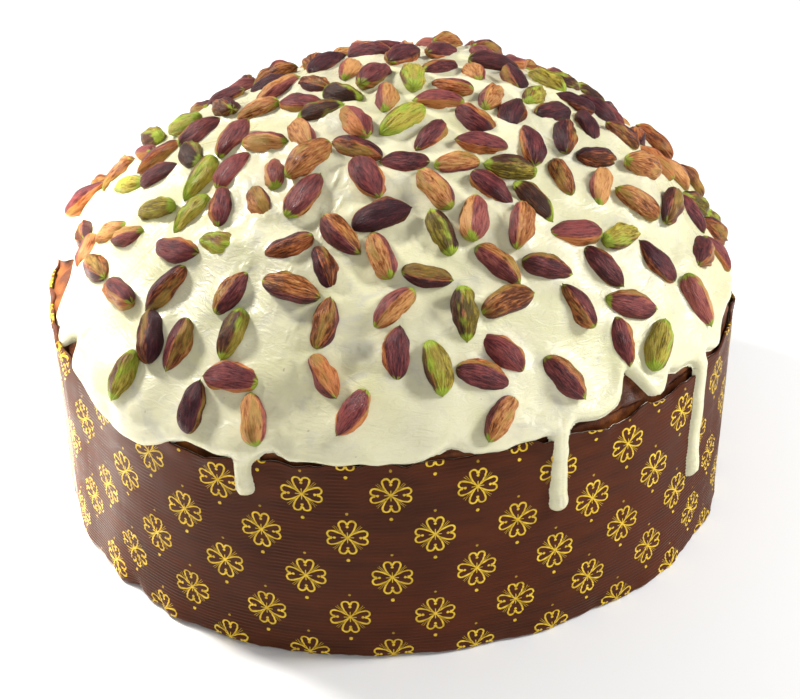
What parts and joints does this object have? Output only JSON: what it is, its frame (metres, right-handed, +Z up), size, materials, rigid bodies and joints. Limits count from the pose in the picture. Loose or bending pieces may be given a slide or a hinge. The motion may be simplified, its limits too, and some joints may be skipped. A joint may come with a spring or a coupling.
{
  "type": "pistachio panettone",
  "caption": "Low round festive loaf in a printed brown paper case, its dome iced in ivory with drips down the wall and set with whole pistachio kernels.",
  "frame": {"origin": "middle of the case's flat base, at the level of the surface it stands on", "axes": "+Z up; -Y is the side that faced the camera; +X to the right seen from there, the way the dome leans"},
  "size_m": [0.2223, 0.2248, 0.1383],
  "materials": {
    "case_paper": "satin",
    "crust": "matte",
    "icing": "satin",
    "kernels": "satin"
  },
  "bodies": {
    "root": {"paper_case": "case_paper", "cake": "crust", "icing": "icing"}
  },
  "joints": []
}
